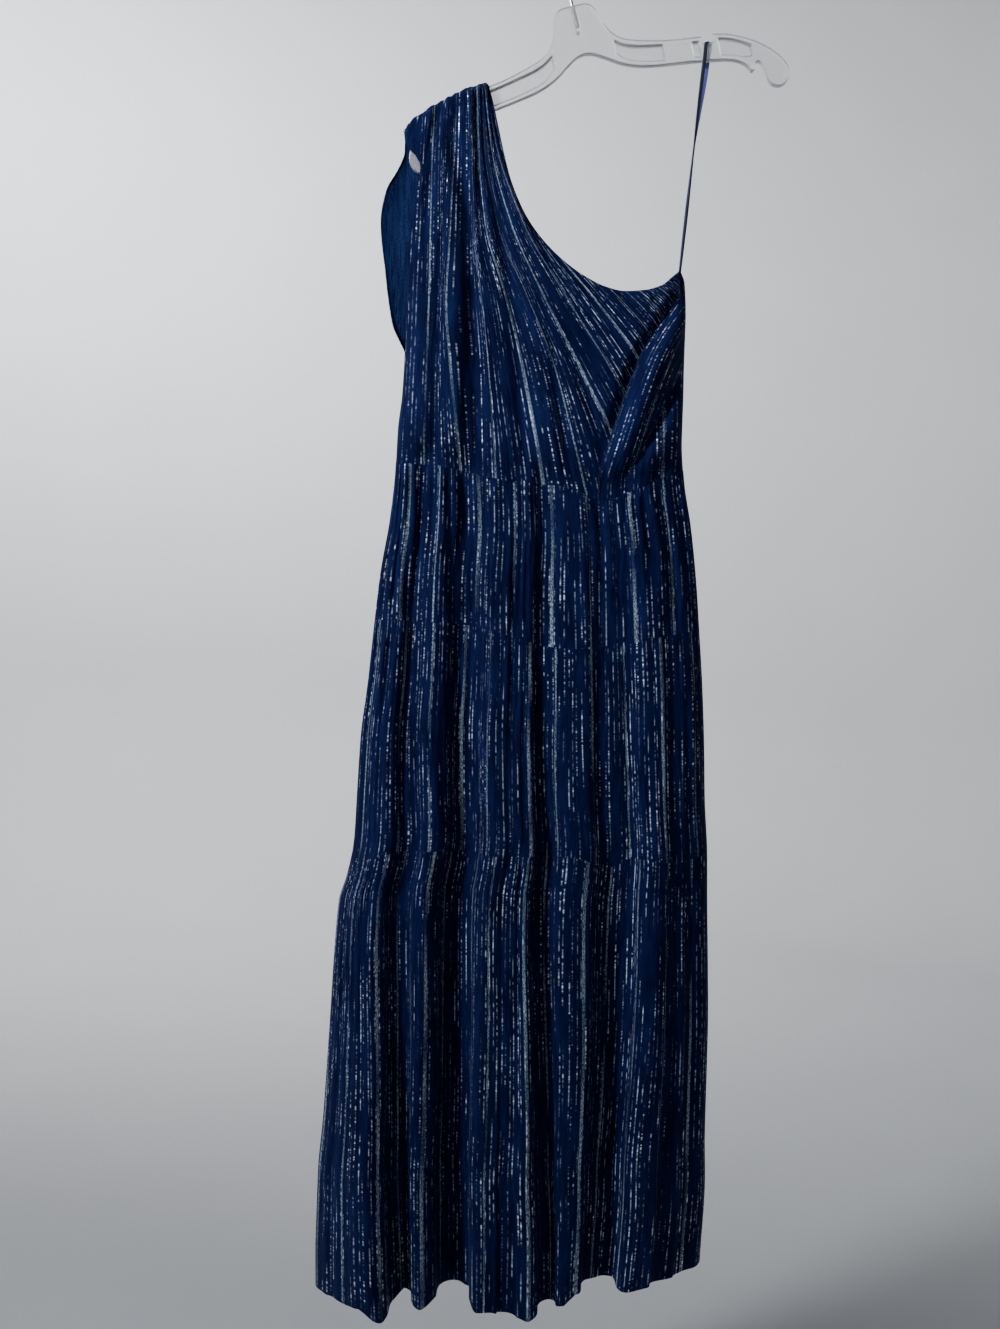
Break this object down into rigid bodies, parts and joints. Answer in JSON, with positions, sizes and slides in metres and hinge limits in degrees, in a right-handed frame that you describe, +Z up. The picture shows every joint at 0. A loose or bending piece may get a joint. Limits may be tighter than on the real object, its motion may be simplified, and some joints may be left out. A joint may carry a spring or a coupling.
{
  "type": "one-shoulder tiered maxi dress on a clear hanger",
  "caption": "Sleeveless one-shoulder maxi dress with a draped bodice and a gathered three-tier skirt, hung by one shoulder and a ribbon loop on a clear plastic hanger.",
  "frame": {"origin": "point inside the top of the hook's bend, where a rail carries the hanger", "axes": "+Z up, so the dress hangs down along -Z; the front of the dress faces -Y; +X is to the right for someone looking at the front"},
  "size_m": [0.4777, 0.1292, 1.4915],
  "materials": {
    "navy_cloth": "matt crinkled cloth with irregular silver thread stripes",
    "navy_ribbon": "satin ribbon",
    "clear_plastic": "clear moulded polystyrene",
    "wire_steel": "bright steel wire"
  },
  "bodies": {
    "root": {"bodice_front": "navy_cloth", "bodice_back": "navy_cloth", "skirt_tier_1_front": "navy_cloth", "skirt_tier_1_back": "navy_cloth", "skirt_tier_2_front": "navy_cloth", "skirt_tier_2_back": "navy_cloth", "skirt_tier_3_front": "navy_cloth", "skirt_tier_3_back": "navy_cloth", "hanging_loop": "navy_ribbon", "hanger_body": "clear_plastic", "hanger_hook": "wire_steel"}
  },
  "joints": []
}
